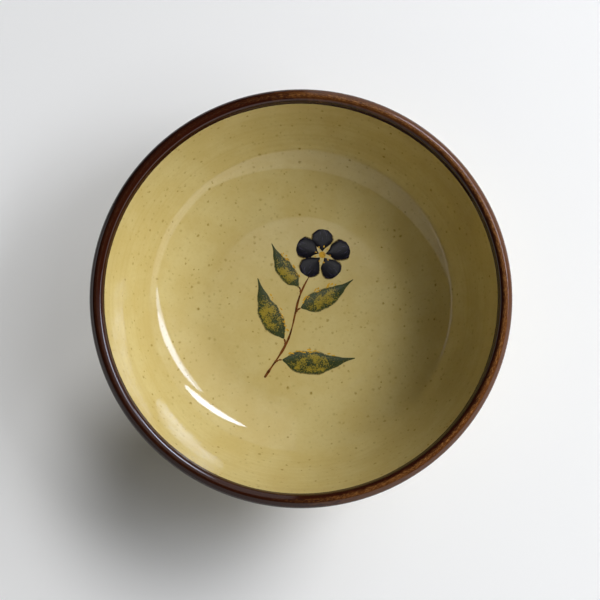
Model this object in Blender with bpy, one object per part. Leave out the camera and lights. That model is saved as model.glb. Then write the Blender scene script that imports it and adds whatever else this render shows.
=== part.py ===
"""Coupe soup bowl in glazed stoneware, standing on its foot ring.

The clay body is turned from one profile. The glaze lies on it in separate coats: a speckled liner
inside, a brown band over the lip, a speckled coat outside and a disc inside the foot ring. The foot
ring is bare clay. The origin is the centre of the resting plane, with +Z up through the mouth.
"""

from collections import namedtuple
from math import asin, cos, pi, radians, sin

import bmesh
import bpy
from mathutils import Vector

# Finished bowl, coats included, in metres
RIM_DIAMETER = 0.190
HEIGHT = 0.052
FLOOR_HEIGHT = 0.0094
FLOOR_RADIUS = 0.043
FLOOR_DISH = 0.0003
CORNER_RADIUS = 0.042
LIP_RADIUS = 0.003
WALL_THICKNESS = 0.0062

# Slope of the wall above the horizontal, where it leaves the corner and where it meets the lip
WALL_SLOPE_LOW = radians(57)
WALL_SLOPE_HIGH = radians(66)

# Foot ring and the shallow recess inside it
FOOT_DIAMETER = 0.104
FOOT_WIDTH = 0.0065
FOOT_EDGE_RADIUS = 0.0009
FOOT_MEETING_SLOPE = radians(11.5)
RECESS_DEPTH = 0.0032
RECESS_TAPER = 0.0009

# Glaze coats
COAT = 0.0006
BOND_GAP = 0.0003
SKIN = COAT + BOND_GAP
BAND_INSIDE = 0.0016
BAND_OUTSIDE = 0.0034
GLAZE_LINE_SLOPE = radians(14.5)
PATCH_MARGIN = 0.0016

# Facets
SEGMENTS = 64
FLOOR_STEPS = 2
CORNER_STEPS = 8
WALL_STEPS = 3
LIP_STEPS = 8
UNDERSIDE_STEPS = 6
FOOT_EDGE_STEPS = 2
WELD_DISTANCE = 1e-6
SHARP_ANGLE = radians(40)

# Finishes: colour as seen in plain light, and roughness
CREAM_GLAZE = ("cream_glaze", (200, 183, 122), 0.16)
BROWN_GLAZE = ("brown_glaze", (66, 33, 18), 0.20)
STONEWARE = ("stoneware", (188, 158, 122), 0.85)

# A point of the profile as (radius, height), and the direction that faces the air there
Station = namedtuple("Station", "point normal")


def left_of(heading):
    """Unit vector to the left of a heading. The profile is walked with the air on its left."""
    return Vector((-sin(heading), cos(heading)))


def along(station):
    """Unit vector in which the profile runs on from a station."""
    return Vector((station.normal.y, -station.normal.x))


def arc(centre, radius, start, end, steps):
    """Stations on an arc between two headings; a left turn is hollow and a right turn is round."""
    side = -1 if end > start else 1
    stations = []
    for step in range(steps + 1):
        normal = left_of(start + (end - start) * step / steps)
        stations.append(Station(centre + side * radius * normal, normal))
    return stations


def sweep(first, last, start, end, steps):
    """Stations on the smooth curve between two stations, from one share of its way to another."""
    reach = (last.point - first.point).length / 3
    leave = first.point + reach * along(first)
    arrive = last.point - reach * along(last)
    stations = []
    for step in range(steps + 1):
        t = start + (end - start) * step / steps
        u = 1 - t
        point = u**3 * first.point + 3 * u * u * t * leave + 3 * u * t * t * arrive + t**3 * last.point
        run = u * u * (leave - first.point) + 2 * u * t * (arrive - leave) + t * t * (last.point - arrive)
        run.normalize()
        stations.append(Station(point, Vector((-run.y, run.x))))
    return stations


def glazed_stretches():
    """The finished profile, split where one coat ends and the next begins."""
    dish_radius = (FLOOR_RADIUS**2 + FLOOR_DISH**2) / (2 * FLOOR_DISH)
    floor_slope = asin(FLOOR_RADIUS / dish_radius)
    floor = arc(Vector((0, FLOOR_HEIGHT + dish_radius)), dish_radius, 0, floor_slope, FLOOR_STEPS)
    corner_centre = floor[-1].point + CORNER_RADIUS * floor[-1].normal
    corner = arc(corner_centre, CORNER_RADIUS, floor_slope, WALL_SLOPE_LOW, CORNER_STEPS)

    lip_centre = Vector((RIM_DIAMETER / 2 - LIP_RADIUS, HEIGHT - LIP_RADIUS))
    lip = arc(lip_centre, LIP_RADIUS, WALL_SLOPE_HIGH, WALL_SLOPE_HIGH - pi, LIP_STEPS)

    outer_radius = CORNER_RADIUS + WALL_THICKNESS
    glaze_line = GLAZE_LINE_SLOPE - pi
    underside = arc(corner_centre, outer_radius, WALL_SLOPE_LOW - pi, glaze_line, UNDERSIDE_STEPS)
    bare = arc(corner_centre, outer_radius, glaze_line, FOOT_MEETING_SLOPE - pi, 1)

    inner_wall = (corner[-1], lip[0])
    outer_wall = (lip[-1], underside[0])
    inner_length = (lip[0].point - corner[-1].point).length
    outer_length = (underside[0].point - lip[-1].point).length
    inner_edge = 1 - BAND_INSIDE / inner_length
    outer_edge = BAND_OUTSIDE / outer_length
    liner_end = inner_edge - BOND_GAP / inner_length
    outer_start = outer_edge + BOND_GAP / outer_length

    liner = floor + corner[1:] + sweep(*inner_wall, 0, liner_end, WALL_STEPS)[1:]
    band = sweep(*inner_wall, inner_edge, 1, 1) + lip[1:] + sweep(*outer_wall, 0, outer_edge, 1)[1:]
    outside = sweep(*outer_wall, outer_start, 1, WALL_STEPS) + underside[1:]
    return liner, band, outside, bare[1:]


def foot_outline():
    """Clay outline of the foot ring, from its outer edge round the resting face to its inner edge."""
    outer_centre = Vector((FOOT_DIAMETER / 2 - FOOT_EDGE_RADIUS, FOOT_EDGE_RADIUS))
    inner_centre = Vector((FOOT_DIAMETER / 2 - FOOT_WIDTH + FOOT_EDGE_RADIUS, FOOT_EDGE_RADIUS))
    outer_edge = arc(outer_centre, FOOT_EDGE_RADIUS, -pi / 2, -pi, FOOT_EDGE_STEPS)
    inner_edge = arc(inner_centre, FOOT_EDGE_RADIUS, -pi, -pi * 3 / 2, FOOT_EDGE_STEPS)
    return [station.point for station in outer_edge + inner_edge]


def recess_stretch():
    """The finished recess from its wall to the axis, split at the edge of its glazed disc."""
    wall_radius = FOOT_DIAMETER / 2 - FOOT_WIDTH - RECESS_TAPER
    radii = (wall_radius, wall_radius - PATCH_MARGIN, 0)
    down = left_of(-pi)
    return [Station(Vector((radius, RECESS_DEPTH)), down) for radius in radii]


def offset(stations, distance):
    """Points of a stretch moved into the air, or into the clay where the distance is negative."""
    return [station.point + distance * station.normal for station in stations]


def coat(stations):
    """Outline of the coat whose finished face runs along a stretch."""
    return offset(stations, 0) + offset(stations, -COAT)[::-1]


def finish(name, colour, roughness):
    """Material with a colour given in 0 to 255 display values."""
    material = bpy.data.materials.new(name)
    material.use_nodes = True
    shares = [value / 255 for value in colour]
    linear = [((share + 0.055) / 1.055) ** 2.4 for share in shares]
    shader = material.node_tree.nodes["Principled BSDF"]
    shader.inputs["Base Color"].default_value = (*linear, 1)
    shader.inputs["Roughness"].default_value = roughness
    shader.inputs["Metallic"].default_value = 0
    material.diffuse_color = (*linear, 1)
    return material


def turn(name, outline, material, parent):
    """Solid of revolution of an outline that is closed, or that starts and ends on the axis."""
    shape = bmesh.new()
    points = [shape.verts.new((radius, 0, height)) for radius, height in outline]
    for first, second in zip(points, points[1:]):
        shape.edges.new((first, second))
    if outline[0].x > WELD_DISTANCE:
        shape.edges.new((points[-1], points[0]))
    profile = shape.verts[:] + shape.edges[:]
    bmesh.ops.spin(shape, geom=profile, axis=(0, 0, 1), angle=2 * pi, steps=SEGMENTS, use_merge=True)
    bmesh.ops.remove_doubles(shape, verts=shape.verts[:], dist=WELD_DISTANCE)
    bmesh.ops.recalc_face_normals(shape, faces=shape.faces[:])

    mesh = bpy.data.meshes.new(name)
    shape.to_mesh(mesh)
    shape.free()
    mesh.materials.append(material)
    mesh.shade_smooth()
    mesh.set_sharp_from_angle(angle=SHARP_ANGLE)
    piece = bpy.data.objects.new(name, mesh)
    piece.parent = parent
    bpy.context.collection.objects.link(piece)


def main():
    for old in list(bpy.data.objects):
        bpy.data.objects.remove(old)

    bowl = bpy.data.objects.new("coupe_soup_bowl", None)
    bpy.context.collection.objects.link(bowl)
    cream = finish(*CREAM_GLAZE)
    brown = finish(*BROWN_GLAZE)
    stoneware = finish(*STONEWARE)

    liner, band, outside, bare = glazed_stretches()
    recess = recess_stretch()
    clay = offset(liner + band + outside + bare, -SKIN) + foot_outline() + offset(recess, -SKIN)

    turn("clay_body", clay, stoneware, bowl)
    turn("liner_glaze", coat(liner), cream, bowl)
    turn("rim_glaze", coat(band), brown, bowl)
    turn("outer_glaze", coat(outside), cream, bowl)
    turn("base_glaze", coat(recess[1:]), cream, bowl)


main()
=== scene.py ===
"""Looks of a coupe soup bowl in glazed stoneware, laid out as an add-on around its packed solids.

The bowl stands on its foot ring with the origin at the centre of the resting plane and +Z up. Its clay
body and four glaze coats are turned from one profile. A flower sprig is brushed on the floor inside.
"""

from collections import namedtuple
from math import asin, ceil, cos, exp, pi, radians, sin, sqrt, tau
from random import Random

import bpy
from bpy.props import FloatProperty, FloatVectorProperty, IntProperty, PointerProperty
from mathutils import Matrix, Vector


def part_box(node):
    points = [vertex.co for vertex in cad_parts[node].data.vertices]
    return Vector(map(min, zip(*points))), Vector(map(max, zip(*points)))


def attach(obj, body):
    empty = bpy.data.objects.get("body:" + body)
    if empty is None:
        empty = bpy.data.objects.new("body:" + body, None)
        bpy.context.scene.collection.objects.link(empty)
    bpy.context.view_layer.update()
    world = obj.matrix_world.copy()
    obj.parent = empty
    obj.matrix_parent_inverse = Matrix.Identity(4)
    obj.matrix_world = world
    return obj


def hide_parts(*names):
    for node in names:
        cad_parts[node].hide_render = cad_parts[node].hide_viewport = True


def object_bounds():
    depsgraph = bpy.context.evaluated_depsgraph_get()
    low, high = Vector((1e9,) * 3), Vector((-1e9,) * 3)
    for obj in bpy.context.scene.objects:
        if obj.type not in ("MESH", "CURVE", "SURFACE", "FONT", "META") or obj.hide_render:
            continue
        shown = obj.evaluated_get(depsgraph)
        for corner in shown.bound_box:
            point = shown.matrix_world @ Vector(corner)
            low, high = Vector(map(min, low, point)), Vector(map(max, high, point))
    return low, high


bl_info = {
    "name": "Coupe Soup Bowl",
    "version": (1, 0, 0),
    "blender": (4, 5, 0),
    "location": "3D View > Sidebar > Soup Bowl",
    "description": "Turns and glazes a stoneware soup bowl and brushes a flower sprig on its floor",
    "category": "Object",
}

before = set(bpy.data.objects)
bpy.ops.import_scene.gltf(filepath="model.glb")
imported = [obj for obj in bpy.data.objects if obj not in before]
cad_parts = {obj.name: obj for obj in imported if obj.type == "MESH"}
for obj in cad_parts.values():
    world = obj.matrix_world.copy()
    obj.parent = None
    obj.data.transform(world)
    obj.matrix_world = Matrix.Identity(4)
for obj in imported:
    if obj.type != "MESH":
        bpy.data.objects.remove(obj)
CAD_LOW, CAD_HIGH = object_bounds()
BAND_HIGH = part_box("rim_glaze")[1]

BODY = "root"
UP = Vector((0, 0, 1))


def length(name, default, description):
    """Property for a size in metres."""
    return FloatProperty(name=name, description=description, default=default, unit="LENGTH", precision=5)


def angle(name, degrees, description):
    """Property for an angle, with its default in degrees."""
    return FloatProperty(name=name, description=description, default=radians(degrees), subtype="ANGLE")


def colour(name, display, description):
    """Property for a colour, with its default in 0 to 255 display values."""
    linear = [((value / 255 + 0.055) / 1.055) ** 2.4 for value in display]
    return FloatVectorProperty(
        name=name, description=description, default=linear, min=0, max=1, subtype="COLOR"
    )


class BowlSizes(bpy.types.PropertyGroup):
    """Sizes of the finished bowl, glaze included."""

    rim_diameter: length("Rim diameter", CAD_HIGH.x - CAD_LOW.x, "Width across the outside of the lip")
    height: length("Height", CAD_HIGH.z, "Height from the resting face to the top of the lip")
    floor_height: length("Floor height", 0.0094, "Height of the inside at its centre")
    floor_radius: length("Floor radius", 0.043, "Radius of the nearly flat floor")
    floor_dish: length("Floor dish", 0.0003, "How far the floor rises from its centre to its edge")
    corner_radius: length("Corner radius", 0.042, "Radius of the bend between floor and wall")
    lip_radius: length("Lip radius", 0.003, "Radius of the rounded lip")
    wall_thickness: length("Wall thickness", 0.0062, "Thickness of the wall in the bend")
    slope_low: angle("Lower slope", 57, "Slope of the wall where it leaves the bend")
    slope_high: angle("Upper slope", 66, "Slope of the wall where it meets the lip")
    foot_diameter: length("Foot diameter", 0.104, "Width across the outside of the foot ring")
    foot_width: length("Foot width", 0.0065, "Width of the foot ring")
    foot_edge: length("Foot edge", 0.0009, "Radius of the foot ring's edges")
    foot_slope: angle("Foot slope", 11.5, "Slope of the underside where it meets the foot ring")
    recess_depth: length("Recess depth", 0.0032, "Depth of the hollow inside the foot ring")
    recess_taper: length("Recess taper", 0.0009, "How far the hollow narrows from its mouth to its ceiling")
    segments: IntProperty(name="Segments", description="Facets around the bowl", default=192, min=32)


class GlazeSettings(bpy.types.PropertyGroup):
    """Coats of glaze: their laps, thickness and colours."""

    thickness: length("Thickness", 0.0005, "Thickness of a coat on the clay")
    band_lift: length("Band lift", 0.0001, "How far the band stands above the coats that it laps")
    band_inside: length("Band inside", 0.0020, "How far the band runs down the inner wall")
    band_outside: length("Band outside", 0.0034, "How far the band runs down the outer wall")
    band_lap: length("Band lap", 0.0008, "How far the band laps over the coats below it")
    band_wander: length("Band wander", 0.0003, "How far the brushed edges of the band wander")
    line_slope: angle("Glaze line", 14.5, "Slope of the underside where the outer coat ends")
    line_wander: length("Line wander", 0.0004, "How far the outer coat's lower edge wanders")
    line_bead: length("Line bead", 0.00018, "Extra thickness where the outer coat has run to its edge")
    disc_margin: length("Disc margin", 0.0016, "Bare clay left between the foot ring and its glazed disc")
    ridge_depth: length("Ridge depth", 0.00003, "Depth of the throwing rings under the glaze")
    ridge_pitch: length("Ridge pitch", 0.0038, "Distance between throwing rings")
    cream: colour("Cream", (197, 177, 113), "Main colour of the liner and the outside")
    cream_thin: colour("Thin cream", (187, 164, 99), "Cream where the coat is thin")
    cream_thick: colour("Thick cream", (203, 186, 126), "Cream where the coat is thick")
    speck: colour("Speck", (130, 106, 6), "Iron specks that come through the cream")
    grog: colour("Grog", (96, 72, 34), "Dark grains in the bare clay")
    brown: colour("Brown", (50, 18, 6), "Main colour of the band over the lip")
    brown_break: colour("Breaking brown", (88, 49, 20), "Band where it breaks thin over the crest")
    brown_spark: colour("Spark", (176, 122, 66), "Pale flecks in the thin part of the band")
    clay: colour("Clay", (186, 156, 120), "Bare stoneware")
    clay_toasted: colour("Toasted clay", (158, 116, 78), "Bare stoneware where the kiln has toasted it")


class SprigSettings(bpy.types.PropertyGroup):
    """Flower sprig brushed on the floor of the bowl."""

    place: FloatVectorProperty(
        name="Place",
        description="Foot of the stem on the floor",
        default=(-0.017, -0.033),
        size=2,
        unit="LENGTH",
    )
    thickness: length("Thickness", 0.00004, "Height of a brushed stroke on the glaze")
    leaf_green: colour("Leaf green", (58, 68, 40), "Leaves")
    leaf_gold: colour("Leaf gold", (164, 142, 44), "Gold sponged over the leaves")
    petal: colour("Petal", (15, 14, 21), "Blue-black petals")
    petal_light: colour("Petal light", (62, 56, 84), "Petals where the brush has run dry")
    stem: colour("Stem", (112, 62, 24), "Stems and veins")
    stem_dark: colour("Stem blot", (72, 36, 14), "Stems where the brush has rested")
    ochre: colour("Ochre", (206, 160, 44), "Stamens and the wash under the leaves")


class StageSettings(bpy.types.PropertyGroup):
    """Floor, lamps and camera."""

    camera_elevation: angle("Camera elevation", 82.3, "Height of the camera above the horizon")
    camera_distance: length("Camera distance", 1.0, "Distance from the camera to the centre of the rim")
    lens: FloatProperty(name="Lens", description="Focal length in millimetres", default=133.4, unit="CAMERA")
    lamp_reach: length("Lamp reach", 2.0, "Distance from the bowl to the lamps")
    floor_colour: colour("Floor", (195, 197, 201), "Plain floor under the bowl")


# Profile: points as (radius, height), each with the direction that faces the air

Station = namedtuple("Station", "point normal")


def left_of(heading):
    """Unit vector to the left of a heading. The profile is walked with the air on its left."""
    return Vector((-sin(heading), cos(heading)))


def along(station):
    """Unit vector in which the profile runs on from a station."""
    return Vector((station.normal.y, -station.normal.x))


def arc(centre, radius, start, end, spacing):
    """Stations on an arc between two headings; a left turn is hollow and a right turn is round."""
    side = -1 if end > start else 1
    steps = ceil(radius * abs(end - start) / spacing)
    stations = []
    for step in range(steps + 1):
        normal = left_of(start + (end - start) * step / steps)
        stations.append(Station(centre + side * radius * normal, normal))
    return stations


def sweep(first, last, start, end, spacing):
    """Stations on the smooth curve between two stations, from one share of its way to another."""
    reach = (last.point - first.point).length / 3
    leave = first.point + reach * along(first)
    arrive = last.point - reach * along(last)
    steps = ceil(3 * reach * (end - start) / spacing)
    stations = []
    for step in range(steps + 1):
        t = start + (end - start) * step / steps
        u = 1 - t
        point = u**3 * first.point + 3 * u * u * t * leave + 3 * u * t * t * arrive + t**3 * last.point
        run = u * u * (leave - first.point) + 2 * u * t * (arrive - leave) + t * t * (last.point - arrive)
        run.normalize()
        stations.append(Station(point, Vector((-run.y, run.x))))
    return stations


def straight(first, last, spacing):
    """Stations on the straight line between two points."""
    run = (last - first).normalized()
    normal = Vector((-run.y, run.x))
    steps = ceil((last - first).length / spacing)
    return [Station(first.lerp(last, step / steps), normal) for step in range(steps + 1)]


# Distances between stations
FLOOR_SPACING = 0.0010
BEND_SPACING = 0.0006
WALL_SPACING = 0.0007
LIP_SPACING = 0.00025
OUTSIDE_SPACING = 0.0009
BARE_SPACING = 0.0002


class Profile:
    """The finished profile, split into the stretches that the coats cover."""

    def __init__(self, sizes, glaze):
        dish_radius = (sizes.floor_radius**2 + sizes.floor_dish**2) / (2 * sizes.floor_dish)
        floor_slope = asin(sizes.floor_radius / dish_radius)
        dish_centre = Vector((0, sizes.floor_height + dish_radius))
        floor = arc(dish_centre, dish_radius, 0, floor_slope, FLOOR_SPACING)
        bend_centre = floor[-1].point + sizes.corner_radius * floor[-1].normal
        bend = arc(bend_centre, sizes.corner_radius, floor_slope, sizes.slope_low, BEND_SPACING)

        lip_centre = Vector((sizes.rim_diameter / 2 - sizes.lip_radius, sizes.height - sizes.lip_radius))
        lip = arc(lip_centre, sizes.lip_radius, sizes.slope_high, sizes.slope_high - pi, LIP_SPACING)

        outer_radius = sizes.corner_radius + sizes.wall_thickness
        line = glaze.line_slope - pi
        underside = arc(bend_centre, outer_radius, sizes.slope_low - pi, line, OUTSIDE_SPACING)
        bare = arc(bend_centre, outer_radius, line, sizes.foot_slope - pi, BARE_SPACING)

        inner_wall = (bend[-1], lip[0])
        outer_wall = (lip[-1], underside[0])
        inner_length = (lip[0].point - bend[-1].point).length
        outer_length = (underside[0].point - lip[-1].point).length
        inner_edge = 1 - glaze.band_inside / inner_length
        outer_edge = glaze.band_outside / outer_length
        inner_lap = inner_edge + glaze.band_lap / inner_length
        outer_lap = outer_edge - glaze.band_lap / outer_length

        self.liner = floor + bend[1:] + sweep(*inner_wall, 0, inner_lap, WALL_SPACING)[1:]
        band_start = sweep(*inner_wall, inner_edge, 1, LIP_SPACING)
        band_end = sweep(*outer_wall, 0, outer_edge, LIP_SPACING)
        self.band = band_start + lip[1:] + band_end[1:]
        self.outside = sweep(*outer_wall, outer_lap, 1, OUTSIDE_SPACING) + underside[1:]
        self.bare = bare[1:]
        inner_rest = sweep(*inner_wall, inner_lap, 1, WALL_SPACING)[1:]
        outer_rest = sweep(*outer_wall, 0, outer_lap, OUTSIDE_SPACING)[1:]
        self.lip_clay = inner_rest + lip[1:] + outer_rest

        self.foot = self.foot_ring(sizes, bare[-1], glaze.thickness)
        self.disc = self.foot_disc(sizes, glaze)

    @staticmethod
    def foot_ring(sizes, meeting, depth):
        """Bare clay from the underside round the resting face to the hollow's ceiling."""
        outer = sizes.foot_diameter / 2
        inner = outer - sizes.foot_width
        edge = sizes.foot_edge
        outer_edge = arc(Vector((outer - edge, edge)), edge, -pi / 2, -pi, BARE_SPACING)
        inner_edge = arc(Vector((inner + edge, edge)), edge, -pi, -pi * 3 / 2, BARE_SPACING)
        root = meeting.point - depth * meeting.normal
        ceiling = sizes.recess_depth + depth
        hollow = Vector((inner - sizes.recess_taper, ceiling))
        return (
            straight(root, outer_edge[0].point, BARE_SPACING)[1:]
            + outer_edge[1:]
            + straight(outer_edge[-1].point, inner_edge[0].point, BARE_SPACING)[1:]
            + inner_edge[1:]
            + straight(inner_edge[-1].point, hollow, BARE_SPACING)[1:]
            + straight(hollow, Vector((0, ceiling)), FLOOR_SPACING)[1:]
        )

    @staticmethod
    def foot_disc(sizes, glaze):
        """Glazed disc on the hollow's ceiling, from its edge to the axis."""
        edge = sizes.foot_diameter / 2 - sizes.foot_width - sizes.recess_taper - glaze.disc_margin
        return straight(Vector((edge, sizes.recess_depth)), Vector((0, sizes.recess_depth)), WALL_SPACING)


# Coats: outlines with what each point does around the bowl

Knot = namedtuple("Knot", "point facing slide ridge run")

# Widths of rolled edges, over another coat and on bare clay
LAP_ROLL = 0.0006
LINE_ROLL = 0.0011

# Distance from an edge over which its wander ends and the throwing rings begin
EDGE_FADE = 0.004

# How far the back of a coat sinks into the clay, and into a coat that it laps
SINK = 0.0001
LAP_SINK = 0.00003

# Bead of glaze that has run to an edge: its distance from the edge, and its spread
BEAD_PLACE = 0.0013
BEAD_SPREAD = 0.0008

# Stations of the face for each one of the back
BACK_STRIDE = 3


def distances(stations):
    """Distance of each station from the first, along the profile."""
    total = 0
    result = [0]
    for first, second in zip(stations, stations[1:]):
        total += (second.point - first.point).length
        result.append(total)
    return result


def rounded(distance, reach):
    """Share by which a rolled edge has fallen at a distance from it, from 1 at the edge to 0 past it."""
    if distance >= reach:
        return 0
    return 1 - sqrt(1 - (1 - distance / reach) ** 2)


def skin(stations, depth, ridge):
    """Knots of bare clay below a stretch of the profile."""
    knots = []
    for station, run in zip(stations, distances(stations)):
        point = station.point - depth * station.normal
        weight = ridge if station.point.x > 0 else 0
        knots.append(Knot(point, station.normal, Vector((0, 0)), weight, run))
    return knots


class Coat:
    """Closed outline of a coat along a stretch, with rolled ends that may lap over a neighbour."""

    def __init__(
        self, stations, glaze, lift=0, rolls=(0, 0), laps=(0, 0), bead=0, flats=(), wander=(0, 0), ridge=0
    ):
        self.stations = stations
        self.runs = distances(stations)
        self.depth = glaze.thickness
        self.lift = lift
        self.rolls = rolls
        self.laps = laps
        self.bead = bead
        self.flats = flats
        self.wander = wander
        self.ridge = ridge

    def ends(self, run):
        """Distances from both ends at a distance along the stretch."""
        return run, self.runs[-1] - run

    def face(self, run):
        """Height of the coat's outer face over the profile."""
        height = self.lift
        for distance, roll, lap in zip(self.ends(run), self.rolls, self.laps):
            fall = self.lift + LAP_SINK if lap else self.lift + self.depth
            height -= fall * rounded(distance, roll)
        for place, depth, spread in self.flats:
            height -= depth * exp(-(((run - place) / spread) ** 2))
        last = self.ends(run)[1]
        return height + self.bead * exp(-(((last - BEAD_PLACE) / BEAD_SPREAD) ** 2))

    def back(self, run):
        """Height of the coat's inner face, sunk a little into what carries it."""
        for distance, lap in zip(self.ends(run), self.laps):
            if distance < lap:
                return -LAP_SINK
        return -self.depth - SINK

    def slide(self, station, run):
        """How far and which way a point follows the wander of the nearer edge."""
        first, last = self.ends(run)
        weight = self.wander[0] * max(0, 1 - first / EDGE_FADE)
        weight += self.wander[1] * max(0, 1 - last / EDGE_FADE)
        return weight * along(station)

    def fade(self, station, run):
        """Strength of the throwing rings at a point: most on the wall, none at the axis or a rolled edge."""
        if station.point.x == 0:
            return 0
        weight = self.ridge * station.normal.x**2
        for distance, roll in zip(self.ends(run), self.rolls):
            if roll:
                weight *= min(1, distance / EDGE_FADE)
        return weight

    def knots(self):
        """Outline from the first end along the face and back underneath."""
        pairs = list(zip(self.stations, self.runs))
        under = pairs[::-BACK_STRIDE]
        if under[-1] != pairs[0]:
            under.append(pairs[0])
        outline = []
        for station, run in pairs:
            point = station.point + self.face(run) * station.normal
            slide = self.slide(station, run)
            outline.append(Knot(point, station.normal, slide, self.fade(station, run), run))
        for station, run in under:
            point = station.point + self.back(run) * station.normal
            outline.append(Knot(point, -station.normal, self.slide(station, run), 0, run))
        outline.append(outline[0])
        return outline


# Node trees

WELD_DISTANCE = 1e-6
STROKE_SIDES = 20


class Wiring:
    """Adds nodes to one tree. Most methods return the output that the next node reads."""

    def __init__(self, tree):
        self.tree = tree

    def node(self, kind, feeds=(), **settings):
        """Adds a node, sets its options, and feeds its inputs with values or other nodes' outputs."""
        node = self.tree.nodes.new(kind)
        for name, value in settings.items():
            setattr(node, name, value)
        for socket, value in dict(feeds).items():
            self.feed(node.inputs[socket], value)
        return node

    def feed(self, socket, value):
        """Links an output to an input, or sets the input's own value."""
        if isinstance(value, bpy.types.NodeSocket):
            self.tree.links.new(value, socket)
        else:
            socket.default_value = value

    def math(self, operation, *values):
        return self.node("ShaderNodeMath", enumerate(values), operation=operation).outputs[0]

    def add(self, first, second):
        return self.math("ADD", first, second)

    def times(self, product, *factors):
        """Product of two or more values."""
        for factor in factors:
            product = self.math("MULTIPLY", product, factor)
        return product

    def linear(self, value, slope, start):
        """Value times a slope, plus a start."""
        return self.math("MULTIPLY_ADD", value, slope, start)

    def vectors(self, operation, *values):
        return self.node("ShaderNodeVectorMath", enumerate(values), operation=operation).outputs[0]

    def dot(self, first, second):
        feeds = {0: first, 1: second}
        return self.node("ShaderNodeVectorMath", feeds, operation="DOT_PRODUCT").outputs["Value"]

    def scaled(self, vector, factor):
        feeds = {"Vector": vector, "Scale": factor}
        return self.node("ShaderNodeVectorMath", feeds, operation="SCALE").outputs[0]

    def combine(self, x=0, y=0, z=0):
        return self.node("ShaderNodeCombineXYZ", {"X": x, "Y": y, "Z": z}).outputs[0]

    def separate(self, vector):
        return tuple(self.node("ShaderNodeSeparateXYZ", {0: vector}).outputs)

    def span(self, x, y):
        """Length of the vector with two parts."""
        return self.math("SQRT", self.add(self.times(x, x), self.times(y, y)))

    def noise(self, vector, scale, detail=2, roughness=0.5):
        feeds = {"Vector": vector, "Scale": scale, "Detail": detail, "Roughness": roughness}
        return self.node("ShaderNodeTexNoise", feeds).outputs[0]

    def swing(self, vector, scale, detail=2):
        """Noise that swings about 0 by up to about 1."""
        return self.linear(self.noise(vector, scale, detail), 4, -2)

    def smooth(self, value, low, high):
        """0 to 1 as a value passes from low to high."""
        feeds = {"Value": value, "From Min": low, "From Max": high}
        return self.node("ShaderNodeMapRange", feeds, interpolation_type="SMOOTHSTEP").outputs[0]

    def mix(self, factor, first, second):
        """Blend of two colours. The colour sockets go by number, because their names repeat."""
        feeds = {0: factor, 6: opaque(first), 7: opaque(second)}
        return self.node("ShaderNodeMix", feeds, data_type="RGBA").outputs[2]

    def attribute(self, name, kind="FLOAT"):
        """A named attribute of the geometry that is being read."""
        return self.node("GeometryNodeInputNamedAttribute", {"Name": name}, data_type=kind).outputs[0]

    def store(self, geometry, name, value, kind="FLOAT"):
        """Geometry with a value kept on its points under a name."""
        feeds = {"Geometry": geometry, "Name": name, "Value": value}
        return self.node("GeometryNodeStoreNamedAttribute", feeds, data_type=kind, domain="POINT").outputs[0]


def opaque(shade):
    """A colour with the fourth part that a colour socket has. An output is left as it is."""
    if isinstance(shade, bpy.types.NodeSocket):
        return shade
    return (*shade, 1)


def open_tree(name, inputs):
    """A geometry node tree with named inputs, and the outputs of its input node."""
    tree = bpy.data.node_groups.new(name, "GeometryNodeTree")
    tree.interface.new_socket("Geometry", in_out="INPUT", socket_type="NodeSocketGeometry")
    for label, kind in inputs.items():
        tree.interface.new_socket(label, in_out="INPUT", socket_type=kind)
    tree.interface.new_socket("Geometry", in_out="OUTPUT", socket_type="NodeSocketGeometry")
    wires = Wiring(tree)
    return wires, wires.node("NodeGroupInput").outputs


def close_tree(wires, geometry, material):
    """Welds the geometry, shades it smooth and ends the tree."""
    feeds = {"Geometry": geometry, "Distance": WELD_DISTANCE}
    welded = wires.node("GeometryNodeMergeByDistance", feeds).outputs[0]
    shaded = wires.node("GeometryNodeSetShadeSmooth", {"Geometry": welded}).outputs[0]
    real = wires.node("GeometryNodeRealizeInstances", {"Geometry": shaded}).outputs[0]
    painted = wires.node("GeometryNodeSetMaterial", {"Geometry": real, "Material": material}).outputs[0]
    wires.node("NodeGroupOutput", {"Geometry": painted})
    return wires.tree


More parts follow.
